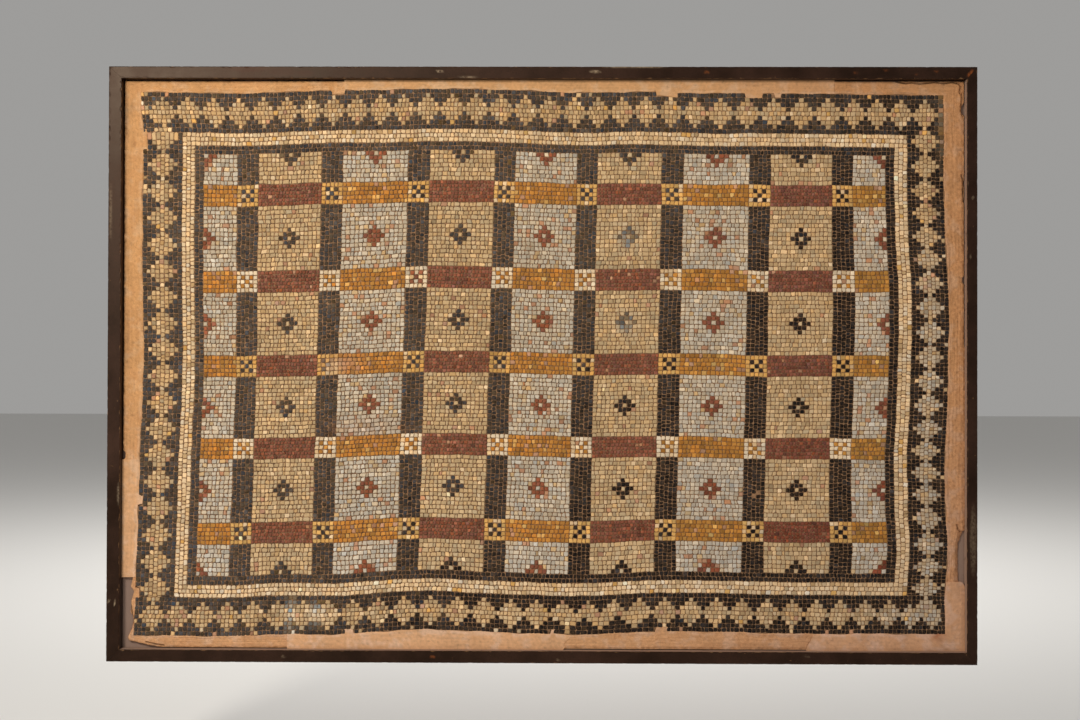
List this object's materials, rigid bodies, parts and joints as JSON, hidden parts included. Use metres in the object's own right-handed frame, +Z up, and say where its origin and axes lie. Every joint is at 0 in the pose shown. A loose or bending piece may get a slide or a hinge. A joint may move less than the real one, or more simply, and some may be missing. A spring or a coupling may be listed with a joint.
{
  "type": "mosaic panel",
  "caption": "Section of an ancient stone mosaic floor, lifted and set in mortar inside a plain dark frame, to hang on a wall as a display.",
  "frame": {"origin": "middle of the panel's flat back, in the plane of the wall", "axes": "+Y from the front into the wall, +X to the right as seen from the front, +Z up"},
  "size_m": [2, 0.062, 1.372],
  "materials": {
    "frame_paint": "satin dark brown paint, worn and chipped",
    "backing_plaster": "matte grey-pink cement plaster",
    "old_mortar": "matte ochre-brown lime mortar, trowelled and crumbling",
    "new_mortar": "matte tan repair mortar, smoothed flush",
    "border_stone": "matte worn cream and charcoal stone",
    "cream_stone": "matte worn cream stone",
    "dark_stone": "matte worn charcoal stone",
    "field_stone": "matte worn stone in grey, cream, black, ochre and red-brown"
  },
  "bodies": {
    "root": {"frame_rail_top": "frame_paint", "frame_rail_left": "frame_paint", "frame_rail_bottom": "frame_paint", "frame_rail_right": "frame_paint", "backing_slab": "backing_plaster", "mortar_bed": "old_mortar", "repair_fill_top": "new_mortar", "repair_fill_left": "new_mortar", "repair_fill_bottom": "new_mortar", "repair_fill_corner": "new_mortar", "stepped_border": "border_stone", "cream_band": "cream_stone", "dark_band": "dark_stone", "field": "field_stone"}
  },
  "joints": []
}
